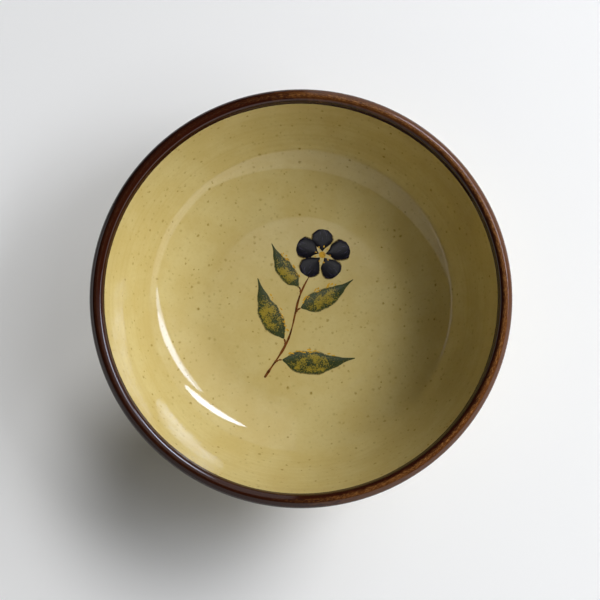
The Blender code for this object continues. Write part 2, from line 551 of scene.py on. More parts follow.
def turning_tree():
    """Turns a profile about the Z axis, with throwing rings on its faces and edges that wander."""
    wires, given = open_tree(
        "turned_ware",
        {
            "Segments": "NodeSocketInt",
            "Ridge Depth": "NodeSocketFloat",
            "Ridge Pitch": "NodeSocketFloat",
            "Seed": "NodeSocketFloat",
            "Material": "NodeSocketMaterial",
        },
    )
    profile = given["Geometry"]
    rows = wires.node("GeometryNodeAttributeDomainSize", {"Geometry": profile}).outputs["Point Count"]
    columns = wires.add(given["Segments"], 1)
    grid = wires.node("GeometryNodeMeshGrid", {"Vertices X": columns, "Vertices Y": rows})
    across, down, _ = wires.separate(grid.outputs["UV Map"])
    row_number = wires.times(down, wires.math("SUBTRACT", rows, 1))
    row = wires.node("FunctionNodeFloatToInt", {"Float": row_number}, rounding_mode="ROUND").outputs[0]

    def on_profile(value, kind):
        feeds = {"Geometry": profile, "Value": value, "Index": row}
        return wires.node("GeometryNodeSampleIndex", feeds, data_type=kind).outputs[0]

    point = on_profile(wires.node("GeometryNodeInputPosition").outputs[0], "FLOAT_VECTOR")
    facing = on_profile(wires.attribute("facing", "FLOAT_VECTOR"), "FLOAT_VECTOR")
    slide = on_profile(wires.attribute("slide", "FLOAT_VECTOR"), "FLOAT_VECTOR")
    ridge = on_profile(wires.attribute("ridge"), "FLOAT")
    run = on_profile(wires.attribute("run"), "FLOAT")

    turn = wires.times(across, -tau)
    cosine = wires.math("COSINE", turn)
    sine = wires.math("SINE", turn)
    slow_turn = 0.7
    rings = wires.combine(
        wires.add(wires.math("DIVIDE", run, given["Ridge Pitch"]), given["Seed"]),
        wires.times(cosine, slow_turn),
        wires.times(sine, slow_turn),
    )
    height = wires.times(ridge, given["Ridge Depth"], wires.swing(rings, 1))
    brush_turn = 1.8
    brush = wires.combine(wires.times(cosine, brush_turn), wires.times(sine, brush_turn), given["Seed"])
    drift = wires.swing(brush, 1, 4)

    shift = wires.vectors("ADD", wires.scaled(facing, height), wires.scaled(slide, drift))
    radius, _, level = wires.separate(wires.vectors("ADD", point, shift))
    place = wires.combine(wires.times(radius, cosine), wires.times(radius, sine), level)
    turned = wires.node("GeometryNodeSetPosition", {"Geometry": grid.outputs["Mesh"], "Position": place})
    return close_tree(wires, turned.outputs[0], given["Material"])


def brush_tree(name, pressure):
    """Lays brush strokes on a surface: each curve is a stroke, and its points hold its half width."""
    wires, given = open_tree(
        name,
        {
            "Surface": "NodeSocketObject",
            "Thickness": "NodeSocketFloat",
            "Steps": "NodeSocketInt",
            "Wobble": "NodeSocketFloat",
            "Seed": "NodeSocketFloat",
            "Material": "NodeSocketMaterial",
        },
    )
    feeds = {"Curve": given["Geometry"], "Count": given["Steps"]}
    strokes = wires.node("GeometryNodeResampleCurve", feeds).outputs[0]
    factor = wires.node("GeometryNodeSplineParameter").outputs["Factor"]
    press = wires.node("ShaderNodeFloatCurve", {"Value": factor})
    shape_curve(press.mapping, pressure)
    centre = wires.node("GeometryNodeInputPosition").outputs[0]
    hand = wires.vectors("ADD", centre, wires.combine(z=given["Seed"]))
    hand_scale = 260
    unsteady = wires.linear(wires.swing(hand, hand_scale, 3), given["Wobble"], 1)
    radius = wires.node("GeometryNodeInputRadius").outputs[0]
    width = wires.times(radius, press.outputs[0], unsteady)
    strokes = wires.store(strokes, "along", factor)
    strokes = wires.store(strokes, "half_width", width)
    strokes = wires.store(strokes, "centre", centre, "FLOAT_VECTOR")
    tangent = wires.node("GeometryNodeInputTangent").outputs[0]
    strokes = wires.store(strokes, "heading", tangent, "FLOAT_VECTOR")

    ring = wires.node("GeometryNodeCurvePrimitiveCircle", {"Resolution": STROKE_SIDES}).outputs[0]
    ring = wires.store(ring, "around", wires.node("GeometryNodeSplineParameter").outputs["Factor"])
    tube = wires.node("GeometryNodeCurveToMesh", {"Curve": strokes, "Profile Curve": ring}).outputs[0]

    turn = wires.times(wires.attribute("around"), tau)
    sideways = wires.math("COSINE", turn)
    rise = wires.math("SINE", turn)
    heading = wires.attribute("heading", "FLOAT_VECTOR")
    across = wires.vectors("NORMALIZE", wires.vectors("CROSS_PRODUCT", UP, heading))
    reach = wires.times(sideways, wires.attribute("half_width"))
    flat = wires.vectors("ADD", wires.attribute("centre", "FLOAT_VECTOR"), wires.scaled(across, reach))
    x, y, _ = wires.separate(flat)
    surface = wires.node("GeometryNodeObjectInfo", {"Object": given["Surface"]}).outputs["Geometry"]
    above = 0.03
    feeds = {
        "Target Geometry": surface,
        "Source Position": wires.combine(x, y, above),
        "Ray Direction": -UP,
        "Ray Length": 2 * above,
    }
    ground = wires.node("GeometryNodeRaycast", feeds).outputs["Hit Position"]
    lens = wires.scaled(UP, wires.times(rise, given["Thickness"]))
    feeds = {"Geometry": tube, "Position": wires.vectors("ADD", ground, lens)}
    laid = wires.node("GeometryNodeSetPosition", feeds).outputs[0]
    laid = wires.store(laid, "across", sideways)
    for helper in ("half_width", "centre", "heading", "around"):
        laid = wires.node("GeometryNodeRemoveAttribute", {"Geometry": laid, "Name": helper}).outputs[0]
    return close_tree(wires, laid, given["Material"])


def shape_curve(mapping, points):
    """Gives a curve node its points, as (place, value) pairs."""
    curve = mapping.curves[0]
    for place, value in points[1:-1]:
        curve.points.new(place, value)
    curve.points[0].location = points[0]
    curve.points[-1].location = points[-1]
    mapping.update()


def grow(name, source, tree, settings):
    """Runs a tree on a source object and keeps the result as a plain mesh object in its place."""
    modifier = source.modifiers.new(tree.name, "NODES")
    modifier.node_group = tree
    for item in tree.interface.items_tree:
        if item.in_out == "INPUT" and item.name in settings:
            modifier[item.identifier] = settings[item.name]
    bpy.context.scene.collection.objects.link(source)
    graph = bpy.context.evaluated_depsgraph_get()
    mesh = bpy.data.meshes.new_from_object(
        source.evaluated_get(graph), preserve_all_data_layers=True, depsgraph=graph
    )
    source.modifiers.remove(modifier)
    bpy.data.objects.remove(source)
    if not mesh.polygons:
        raise RuntimeError(f"{name} has no faces")
    mesh.name = name
    piece = bpy.data.objects.new(name, mesh)
    bpy.context.scene.collection.objects.link(piece)
    return piece


def fit(piece, node=None):
    """Puts a finished piece on the bowl's one body, and hides the solid it stands for."""
    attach(piece, BODY)
    if node:
        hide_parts(node)


# Turned pieces

def profile_object(name, knots):
    """Wire of an outline, whose points keep what the turning tree reads."""
    mesh = bpy.data.meshes.new(name)
    points = [(knot.point.x, 0, knot.point.y) for knot in knots]
    mesh.from_pydata(points, [(index, index + 1) for index in range(len(points) - 1)], [])
    for label in ("facing", "slide"):
        layer = mesh.attributes.new(label, "FLOAT_VECTOR", "POINT")
        for entry, knot in zip(layer.data, knots):
            vector = getattr(knot, label)
            entry.vector = (vector.x, 0, vector.y)
    for label in ("ridge", "run"):
        layer = mesh.attributes.new(label, "FLOAT", "POINT")
        layer.data.foreach_set("value", [getattr(knot, label) for knot in knots])
    return bpy.data.objects.new(name, mesh)


def turned(name, knots, material, depth, pitch, seed):
    """Piece turned from an outline."""
    tree = bpy.data.node_groups.get("turned_ware") or turning_tree()
    settings = {
        "Segments": bpy.context.scene.bowl_sizes.segments,
        "Ridge Depth": depth,
        "Ridge Pitch": pitch,
        "Seed": seed,
        "Material": material,
    }
    return grow(name, profile_object(name, knots), tree, settings)


def current_profile(scene):
    """Profile for the sizes that the scene holds."""
    return Profile(scene.bowl_sizes, scene.bowl_glaze)


# Finishes: the scale of a pattern is how many of its features lie along a metre

GLAZE_INDEX = 1.52
BAND_INDEX = 1.46
CLAY_INDEX = 1.5


def open_material(name):
    """A new material, its wiring, its shader, and the position on the piece in metres."""
    material = bpy.data.materials.new(name)
    material.use_nodes = True
    wires = Wiring(material.node_tree)
    place = wires.node("ShaderNodeTexCoord").outputs["Object"]
    return material, wires, material.node_tree.nodes["Principled BSDF"], place


def dress(wires, shader, tone, roughness, index):
    """Gives the shader a colour that varies, and the same roughness and refraction all over."""
    wires.feed(shader.inputs["Base Color"], tone)
    shader.inputs["Roughness"].default_value = roughness
    shader.inputs["IOR"].default_value = index


def relief(wires, shader, height, distance):
    """Bump of a given depth in metres."""
    bump = wires.node("ShaderNodeBump", {"Height": height, "Distance": distance, "Strength": 1.0})
    wires.feed(shader.inputs["Normal"], bump.outputs[0])


def specks(wires, place, rate, smallest, largest):
    """Specks sized in shares of their spacing: how much of one shows, and a random number for each."""
    ragged_scale = 3 * rate
    ragged_reach = 0.4 / rate
    small_bias = 1.6
    ragged = wires.node("ShaderNodeTexNoise", {"Vector": place, "Scale": ragged_scale}).outputs["Color"]
    place = wires.vectors("ADD", place, wires.scaled(ragged, ragged_reach))
    cells = wires.node("ShaderNodeTexVoronoi", {"Vector": place, "Scale": rate})
    size, chance, _ = wires.separate(cells.outputs["Color"])
    radius = wires.linear(wires.math("POWER", size, small_bias), largest - smallest, smallest)
    gap = wires.math("DIVIDE", cells.outputs["Distance"], radius)
    return wires.smooth(gap, 1.0, 0.1), chance


def wheel_rings(wires, place, pitch):
    """Noise in rings about the axis, which fade in and out round the bowl."""
    x, y, z = wires.separate(place)
    run = wires.add(wires.span(x, y), z)
    slow = 9.0
    rings = wires.combine(wires.math("DIVIDE", run, pitch), wires.times(x, slow), wires.times(y, slow))
    return wires.noise(rings, 1, 3)


def cream_base(wires, glaze, place):
    """Colour of the cream glaze: clouds, rings on the wall and grain, with iron specks."""
    cloud_scale = 60
    ring_pitch = 0.0022
    grain_scale = 700
    thinned = 0.30
    speck_rate = 380
    faintest = 0.28
    faded_on_wall = 0.18
    x, y, _ = wires.separate(place)
    wall = wires.smooth(wires.span(x, y), 0.055, 0.080)
    clouds = wires.smooth(wires.noise(place, cloud_scale, 4, 0.6), 0.34, 0.68)
    tone = wires.mix(clouds, glaze.cream, glaze.cream_thick)
    rings = wires.smooth(wheel_rings(wires, place, ring_pitch), 0.40, 0.72)
    tone = wires.mix(wires.times(rings, wall, thinned), tone, glaze.cream_thin)
    grain = wires.smooth(wires.noise(place, grain_scale, 3, 0.65), 0.46, 0.74)
    tone = wires.mix(wires.times(grain, thinned), tone, glaze.cream_thin)
    spot, chance = specks(wires, place, speck_rate, 0.17, 0.42)
    strength = wires.linear(wires.math("POWER", chance, 4), 1 - faintest, faintest)
    strength = wires.times(strength, wires.linear(wall, -faded_on_wall, 1))
    return wires.mix(wires.times(spot, strength), tone, glaze.speck)


def cream_glaze(glaze):
    """Cream glaze with iron specks, glossy and faintly uneven."""
    material, wires, shader, place = open_material("speckled_cream")
    dress(wires, shader, cream_base(wires, glaze, place), 0.045, GLAZE_INDEX)
    ring_pitch = 0.0008
    ring_weight = 5
    ripple_scale = 500
    ripple_depth = 2.5e-6
    x, y, _ = wires.separate(place)
    upper_wall = wires.smooth(wires.span(x, y), 0.066, 0.078)
    rings = wires.times(wheel_rings(wires, place, ring_pitch), upper_wall)
    ripple = wires.add(wires.noise(place, ripple_scale), wires.times(rings, ring_weight))
    relief(wires, shader, ripple, ripple_depth)
    return material


def brown_glaze(glaze):
    """Brown band glaze that breaks to rust with pale flecks over the crest. More rust and flecks lie on the
    right and far side, towards the lamps, as painted light.
    """
    material, wires, shader, place = open_material("breaking_brown")
    x, y, z = wires.separate(place)
    span = wires.span(x, y)
    scale_across = 1800
    scale_along = 420
    across = wires.times(wires.math("SUBTRACT", span, z), scale_across)
    brushed_place = wires.combine(across, wires.times(x, scale_along), wires.times(y, scale_along))

    # Reaches of the thin, rusty glaze from the crest, inwards, outwards and further in on the far side,
    # where the extra reach is painted light
    crest = BAND_HIGH.x - bpy.context.scene.bowl_sizes.lip_radius
    inner_reach = 0.0022
    outer_reach = 0.0002
    far_reach = 0.0012
    # Painted light: the rust keeps to the right, the side towards the lamps, and the left is left dark
    right = wires.smooth(wires.linear(y, 0.1, x), -0.030, 0.026)
    thin = wires.linear(wires.smooth(y, 0.045, 0.085), far_reach, span)
    outer = wires.times(wires.smooth(thin, crest - inner_reach, crest + outer_reach), right)
    cloud = wires.noise(brushed_place, 0.5, 4, 0.6)
    rust_and_painted_light = wires.smooth(wires.linear(outer, 0.40, cloud), 0.60, 0.90)
    tone = wires.mix(rust_and_painted_light, glaze.brown, glaze.brown_break)

    ridge = wires.smooth(wires.math("ABSOLUTE", wires.math("SUBTRACT", span, crest)), 0.0015, 0.0003)
    fleck = wires.smooth(wires.noise(brushed_place, 1.7, 3, 0.7), 0.44, 0.68)
    # Pale flecks over the crest, strongest on the lamp side as a painted glint
    flecks_and_painted_glint = wires.times(fleck, ridge, wires.linear(right, 0.62, 0.06))
    dress(wires, shader, wires.mix(flecks_and_painted_glint, tone, glaze.brown_spark), 0.05, BAND_INDEX)
    ripple_scale = 800
    ripple_depth = 5e-6
    relief(wires, shader, wires.noise(place, ripple_scale, 3), ripple_depth)
    return material


def stoneware(glaze):
    """Bare fired clay: toasted patches, turning lines, grog and open pores."""
    material, wires, shader, place = open_material("bare_stoneware")
    toast_scale = 45
    line_pitch = 0.0007
    line_weight = 1.5
    grog_rate = 900
    grain_scale = 2600
    grain_depth = 4e-5
    toast = wires.smooth(wires.noise(place, toast_scale, 4, 0.6), 0.42, 0.68)
    tone = wires.mix(toast, glaze.clay, glaze.clay_toasted)
    lines = wheel_rings(wires, place, line_pitch)
    tone = wires.mix(wires.times(wires.smooth(lines, 0.48, 0.75), 0.35), tone, glaze.clay_toasted)
    grog, chance = specks(wires, place, grog_rate, 0.08, 0.30)
    tone = wires.mix(wires.times(grog, chance, 0.7), tone, glaze.grog)
    dress(wires, shader, tone, 0.86, CLAY_INDEX)
    grain = wires.noise(place, grain_scale, 4, 0.7)
    relief(wires, shader, wires.add(wires.times(lines, line_weight), grain), grain_depth)
    return material


def finish_for(name, maker):
    """The finish with a name, made the first time that it is asked for."""
    return bpy.data.materials.get(name) or maker(bpy.context.scene.bowl_glaze)


def cream_piece(name, coat, seed, node):
    """Cream coat that shows the throwing rings below it, in the place of its solid."""
    glaze = bpy.context.scene.bowl_glaze
    material = finish_for("speckled_cream", cream_glaze)
    piece = turned(name, coat.knots(), material, glaze.ridge_depth, glaze.ridge_pitch, seed)
    fit(piece, node)


class BOWL_OT_thrown_body(bpy.types.Operator):
    """Turn the clay body, whose foot ring stays bare"""

    bl_idname = "bowl.thrown_body"
    bl_label = "Thrown Body"

    def execute(self, context):
        profile = current_profile(context.scene)
        depth = context.scene.bowl_glaze.thickness
        line_weight = 0.6
        line_depth = 0.00004
        line_pitch = 0.0009
        hidden = skin(profile.liner + profile.lip_clay + profile.outside[1:], depth, 0)
        bare = skin(profile.bare, depth, line_weight) + skin(profile.foot, 0, line_weight)
        material = finish_for("bare_stoneware", stoneware)
        body = turned("thrown_body", hidden + bare, material, line_depth, line_pitch, seed=3)
        fit(body, "clay_body")
        return {"FINISHED"}


class BOWL_OT_liner(bpy.types.Operator):
    """Pour the cream liner, which shows the throwing rings below it"""

    bl_idname = "bowl.liner"
    bl_label = "Cream Liner"

    def execute(self, context):
        glaze = context.scene.bowl_glaze
        coat = Coat(current_profile(context.scene).liner, glaze, rolls=(0, LAP_ROLL), ridge=1)
        cream_piece("glaze_liner", coat, seed=11, node="liner_glaze")
        return {"FINISHED"}


class BOWL_OT_outside(bpy.types.Operator):
    """Coat the outside down to the glaze line above the foot"""

    bl_idname = "bowl.outside"
    bl_label = "Outside Coat"

    def execute(self, context):
        glaze = context.scene.bowl_glaze
        coat = Coat(
            current_profile(context.scene).outside,
            glaze,
            rolls=(LAP_ROLL, LINE_ROLL),
            bead=glaze.line_bead,
            wander=(0, glaze.line_wander),
            ridge=1,
        )
        cream_piece("glaze_outside", coat, seed=23, node="outer_glaze")
        return {"FINISHED"}


# Flats that the brush has drawn on the band, inside and outside: the lip's slope there, depth and spread
Flat = namedtuple("Flat", "slope depth spread")
LIP_FLATS = (Flat(radians(31), 0.00005, 0.0007), Flat(radians(-37), 0.00024, 0.0013))


class BOWL_OT_rim_band(bpy.types.Operator):
    """Brush the brown band over the lip"""

    bl_idname = "bowl.rim_band"
    bl_label = "Rim Band"

    def execute(self, context):
        glaze = context.scene.bowl_glaze
        sizes = context.scene.bowl_sizes
        flats = []
        for flat in LIP_FLATS:
            place = glaze.band_inside + sizes.lip_radius * (sizes.slope_high - flat.slope)
            flats.append((place, flat.depth, flat.spread))
        coat = Coat(
            current_profile(context.scene).band,
            glaze,
            lift=glaze.band_lift,
            rolls=(LAP_ROLL, LAP_ROLL),
            laps=(glaze.band_lap, glaze.band_lap),
            flats=flats,
            wander=(glaze.band_wander, 2 * glaze.band_wander),
        )
        material = finish_for("breaking_brown", brown_glaze)
        band = turned("glaze_rim_band", coat.knots(), material, 0, glaze.ridge_pitch, seed=37)
        fit(band, "rim_glaze")
        return {"FINISHED"}


class BOWL_OT_base_disc(bpy.types.Operator):
    """Glaze the disc inside the foot ring"""

    bl_idname = "bowl.base_disc"
    bl_label = "Base Disc"

    def execute(self, context):
        glaze = context.scene.bowl_glaze
        disc = current_profile(context.scene).disc
        coat = Coat(disc, glaze, rolls=(LINE_ROLL, 0), wander=(2 * glaze.line_wander, 0), ridge=0.5)
        cream_piece("glaze_base_disc", coat, seed=41, node="base_glaze")
        return {"FINISHED"}


# Flower sprig: strokes as points on the floor in metres, each with its half width

Stroke = namedtuple("Stroke", "points half_width")

# Pressure of the brush: shares of a stroke's way, and of its half width there
LEAF_PRESSURE = ((0, 0), (0.05, 0.26), (0.34, 1.0), (0.68, 0.58), (0.88, 0.16), (1, 0.04))
PETAL_PRESSURE = ((0, 0), (0.10, 0.18), (0.62, 1.0), (0.90, 0.70), (1, 0))
STEM_PRESSURE = (
    (0, 0), (0.02, 1.0), (0.16, 0.58), (0.30, 0.92), (0.50, 0.52), (0.70, 0.74), (0.97, 0.36), (1, 0)
)
DAB_PRESSURE = ((0, 0), (0.12, 0.66), (0.5, 1.0), (0.88, 0.66), (1, 0))

# Main stem: its bends from its foot, and the share of its way where the brush is lifted
STEM_ROUTE = ((0, 0), (0.011, 0.018), (0.017, 0.040), (0.027, 0.058))
STEM_END = 0.83
STEM_STEPS = 16
STEM_HALF_WIDTH = 0.00068

# Leaves: share of the stem where each grows, turn from the stem, length and half width
Leaf = namedtuple("Leaf", "share turn length half_width")
LEAVES = (
    Leaf(0.14, radians(-62), 0.034, 0.0057),
    Leaf(0.28, radians(58), 0.031, 0.0053),
    Leaf(0.52, radians(-56), 0.028, 0.0048),
    Leaf(0.66, radians(60), 0.024, 0.0042),
)
LEAF_SWEEP = 0.88
LEAF_BOW = 0.12
STALK_LENGTH = 0.0035
STALK_SWEEP = 0.6
STALK_BOW = 0.0006
STALK_HALF_WIDTH = 0.00060

# Dabs of the wash: ranges of place along a leaf, stray from its edge, reach, turn and half width
WASH_DABS = 16
DAB_PLACE = (0.06, 0.70)
DAB_STRAY = (-0.0008, 0.0009)
DAB_REACH = (0.0003, 0.0011)
DAB_TURN = 0.5
DAB_HALF_WIDTH = (0.00018, 0.00045)

# Blossom: petals around an eye, which has a ring of stamens; strays and the curl are in radians
PETALS = 5
PETAL_LENGTH = 0.0112
PETAL_SCALE = (0.92, 1.06)
PETAL_HALF_WIDTH = 0.0053
PETAL_START = 0.0016
PETAL_MIDDLE = 0.55
PETAL_STRAY = 0.08
PETAL_CURL = 0.10
EYE_REACH = 0.0016
EYE_HALF_WIDTH = 0.0015
STAMENS = 9
STAMEN_RING = (0.0030, 0.0040)
STAMEN_STRAY = 0.15
STAMEN_REACH = 0.0005
STAMEN_HALF_WIDTH = 0.00042

HAND_SEED = 7


def turned_by(vector, turn):
    """A flat vector turned to the left by an angle."""
    return Matrix.Rotation(turn, 2) @ vector


def dab(centre, reach, half_width):
    """Short stroke to both sides of its centre."""
    return Stroke([centre - reach, centre + reach], half_width)


class Sprig:
    """Strokes of the sprig, worked out from its main stem."""

    def __init__(self, foot):
        self.route = [foot + Vector(bend) for bend in STEM_ROUTE]
        self.random = Random(HAND_SEED)
        self.blossom = self.route[-1]

    def on_stem(self, place):
        """Point and heading of the main stem at a share of its way."""
        steps = (len(self.route) - 1) * place
        index = min(int(steps), len(self.route) - 2)
        padded = [2 * self.route[0] - self.route[1], *self.route, 2 * self.route[-1] - self.route[-2]]
        before, first, second, after = padded[index : index + 4]
        leave = (second - before) / 2
        arrive = (after - first) / 2
        t = steps - index
        start = (2 * t**3 - 3 * t**2 + 1) * first + (t**3 - 2 * t**2 + t) * leave
        point = start + (3 * t**2 - 2 * t**3) * second + (t**3 - t**2) * arrive
        bend = (6 * t**2 - 6 * t) * (first - second) + (3 * t**2 - 4 * t + 1) * leave
        return point, (bend + (3 * t**2 - 2 * t) * arrive).normalized()

    def stems(self):
        """The main stem and a short stalk to each leaf."""
        shares = [STEM_END * step / STEM_STEPS for step in range(STEM_STEPS + 1)]
        strokes = [Stroke([self.on_stem(place)[0] for place in shares], STEM_HALF_WIDTH)]
        for leaf in LEAVES:
            root, heading = self.on_stem(leaf.share)
            base = self.leaf_line(leaf)[0]
            middle = root.lerp(base, 0.5) + STALK_BOW * heading
            strokes.append(Stroke([root, middle, base], STALK_HALF_WIDTH))
        return strokes

    def leaf_line(self, leaf):
        """Base, middle and tip of a leaf, which bends back along the stem."""
        root, heading = self.on_stem(leaf.share)
        aim = turned_by(heading, leaf.turn)
        base = root + STALK_LENGTH * turned_by(heading, STALK_SWEEP * leaf.turn)
        tip = base + leaf.length * turned_by(heading, LEAF_SWEEP * leaf.turn)
        middle = base.lerp(tip, 0.5) + LEAF_BOW * leaf.length * (aim - heading) / 2
        return [base, middle, tip]

    def leaves(self):
        """Leaves, one stroke each."""
        return [Stroke(self.leaf_line(leaf), leaf.half_width) for leaf in LEAVES]

    def washes(self):
        """Loose ochre dabs along the upper edge of each leaf."""
        fullness = 0.7
        strokes = []
        for leaf in LEAVES:
            base, middle, tip = self.leaf_line(leaf)
            aim = (tip - base).normalized()
            side = turned_by(aim, pi / 2 if leaf.turn < 0 else -pi / 2)
            bow = 4 * (middle - base.lerp(tip, 0.5))
            for _ in range(WASH_DABS):
                place = self.random.uniform(*DAB_PLACE)
                edge = leaf.half_width * sin(pi * place**fullness) + self.random.uniform(*DAB_STRAY)
                centre = base.lerp(tip, place) + place * (1 - place) * bow + edge * side
                reach = self.random.uniform(*DAB_REACH)
                heading = turned_by(aim, self.random.uniform(-DAB_TURN, DAB_TURN))
                strokes.append(dab(centre, reach * heading, self.random.uniform(*DAB_HALF_WIDTH)))
        return strokes

    def petals(self):
        """Petals around the eye of the blossom, each a little different."""
        strokes = []
        for number in range(PETALS):
            stray = self.random.uniform(-PETAL_STRAY, PETAL_STRAY)
            aim = turned_by(Vector((0, 1)), tau * number / PETALS + stray)
            reach = PETAL_LENGTH * self.random.uniform(*PETAL_SCALE)
            start = self.blossom + PETAL_START * aim
            curl = self.random.uniform(-PETAL_CURL, PETAL_CURL)
            middle = start + PETAL_MIDDLE * reach * turned_by(aim, curl)
            strokes.append(Stroke([start, middle, start + reach * aim], PETAL_HALF_WIDTH))
        return strokes

    def stamens(self):
        """Ochre eye of the blossom, with dabs around it."""
        strokes = [dab(self.blossom, Vector((EYE_REACH, 0)), EYE_HALF_WIDTH)]
        for number in range(STAMENS):
            stray = self.random.uniform(-STAMEN_STRAY, STAMEN_STRAY)
            aim = turned_by(Vector((1, 0)), tau * number / STAMENS + stray)
            centre = self.blossom + aim * self.random.uniform(*STAMEN_RING)
            strokes.append(dab(centre, STAMEN_REACH * aim, STAMEN_HALF_WIDTH))
        return strokes


def stroke_object(name, strokes):
    """Curves of a group of strokes, whose points hold the half width."""
    curve = bpy.data.curves.new(name, "CURVE")
    curve.dimensions = "3D"
    for stroke in strokes:
        spline = curve.splines.new("BEZIER")
        spline.bezier_points.add(len(stroke.points) - 1)
        for knob, point in zip(spline.bezier_points, stroke.points):
            knob.co = (point.x, point.y, 0)
            knob.handle_left_type = "AUTO"
            knob.handle_right_type = "AUTO"
            knob.radius = stroke.half_width
    return bpy.data.objects.new(name, curve)


def brushed(name, strokes, pressure, material, seed, wobble, steps=40, layers=1.0):
    """Piece made of brush strokes that lie on the liner, some layers of paint thick."""
    settings = {
        "Surface": bpy.data.objects["glaze_liner"],
        "Thickness": bpy.context.scene.bowl_sprig.thickness * layers,
        "Steps": steps,
        "Wobble": wobble,
        "Seed": seed,
        "Material": material,
    }
    fit(grow(name, stroke_object(name, strokes), brush_tree(name, pressure), settings))


def current_sprig(scene):
    """Sprig at the place that the scene holds."""
    return Sprig(Vector(scene.bowl_sprig.place))


def painted(name, scene, tone_maker):
    """Underglaze paint whose colour a function works out, softened into the cream at its edges."""
    material, wires, shader, place = open_material(name)
    run = wires.node("ShaderNodeAttribute", attribute_name="along").outputs["Fac"]
    side = wires.node("ShaderNodeAttribute", attribute_name="across").outputs["Fac"]
    tone = tone_maker(wires, scene.bowl_sprig, place, run, side)
    edge_scale = 1500
    edge_stray = 0.05
    ragged = wires.linear(wires.swing(place, edge_scale), edge_stray, wires.math("ABSOLUTE", side))
    tone = wires.mix(wires.smooth(ragged, 0.86, 1.04), tone, scene.bowl_glaze.cream_thin)
    dress(wires, shader, tone, 0.07, GLAZE_INDEX)
    return material


def leaf_tone(wires, sprig, place, run, side):
    """Dark green, sponged with gold in the middle of the leaf."""
    sponge_scale = 1500
    patch_scale = 240
    deep_green = [0.62 * part for part in sprig.leaf_green]
    streak = wires.noise(wires.combine(wires.times(run, 5), wires.times(side, 2.4)), 1.6, 3)
    tone = wires.mix(wires.smooth(streak, 0.40, 0.70), sprig.leaf_green, deep_green)
    sponge = wires.noise(place, sponge_scale, 5, 0.75)
    patch = wires.linear(wires.noise(place, patch_scale), 0.6, -0.15)
    middle = wires.times(wires.smooth(run, 0.04, 0.24), wires.smooth(run, 0.80, 0.50))
    inner = wires.smooth(wires.math("ABSOLUTE", side), 0.98, 0.55)
    gold = wires.smooth(wires.add(sponge, wires.times(middle, inner, patch)), 0.58, 0.70)
    return wires.mix(wires.times(gold, 0.8), tone, sprig.leaf_gold)


def petal_tone(wires, sprig, place, run, side):
    """Blue-black with dry violet streaks towards the tip."""
    streak = wires.noise(wires.combine(wires.times(run, 2), wires.times(side, 5)), 1.4, 3)
    dry = wires.times(wires.smooth(streak, 0.50, 0.74), wires.smooth(run, 0.30, 0.85))
    return wires.mix(wires.times(dry, 0.75), sprig.petal, sprig.petal_light)


def stem_tone(wires, sprig, place, run, side):
    """Brown with darker blots where the brush has rested."""
    blot_scale = 320
    blot = wires.smooth(wires.noise(place, blot_scale, 3), 0.46, 0.66)
    return wires.mix(blot, sprig.stem, sprig.stem_dark)


def ochre_tone(wires, sprig, place, run, side):
    """Ochre, thin in places so that it turns brown."""
    thin_scale = 620
    thin = wires.smooth(wires.noise(place, thin_scale, 3), 0.48, 0.72)
    return wires.mix(wires.times(thin, 0.5), sprig.ochre, sprig.stem)


class BOWL_OT_sprig_leaves(bpy.types.Operator):
    """Brush the ochre wash and the leaves over it"""

    bl_idname = "bowl.sprig_leaves"
    bl_label = "Sprig Leaves"

    def execute(self, context):
        sprig = current_sprig(context.scene)
        ochre = painted("ochre_paint", context.scene, ochre_tone)
        green = painted("leaf_paint", context.scene, leaf_tone)
        washes = sprig.washes()
        brushed("sprig_wash", washes, DAB_PRESSURE, ochre, seed=0.2, wobble=0.30, steps=10, layers=0.7)
        brushed("sprig_leaves", sprig.leaves(), LEAF_PRESSURE, green, seed=0.4, wobble=0.10, steps=56)
        return {"FINISHED"}


class BOWL_OT_sprig_stems(bpy.types.Operator):
    """Brush the stem and the stalks of the leaves"""

    bl_idname = "bowl.sprig_stems"
    bl_label = "Sprig Stems"

    def execute(self, context):
        brown = painted("stem_paint", context.scene, stem_tone)
        stems = current_sprig(context.scene).stems()
        brushed("sprig_stems", stems, STEM_PRESSURE, brown, seed=0.6, wobble=0.28, steps=96, layers=1.2)
        return {"FINISHED"}


class BOWL_OT_sprig_blossom(bpy.types.Operator):
    """Brush the blossom: its petals, and its eye with stamens"""

    bl_idname = "bowl.sprig_blossom"
    bl_label = "Sprig Blossom"

    def execute(self, context):
        sprig = current_sprig(context.scene)
        black = painted("petal_paint", context.scene, petal_tone)
        ochre = bpy.data.materials["ochre_paint"]
        petals = sprig.petals()
        stamens = sprig.stamens()
        brushed("sprig_petals", petals, PETAL_PRESSURE, black, seed=0.8, wobble=0.10, layers=1.4)
        brushed("sprig_stamens", stamens, DAB_PRESSURE, ochre, seed=1.0, wobble=0.15, steps=16, layers=2)
        return {"FINISHED"}


# Stage

# Point that the lamps face, where the light falls on the bend between floor and wall
LIT_BEND = Vector((-0.052, -0.032, 0.014))
FLOOR_REACH = 6.0

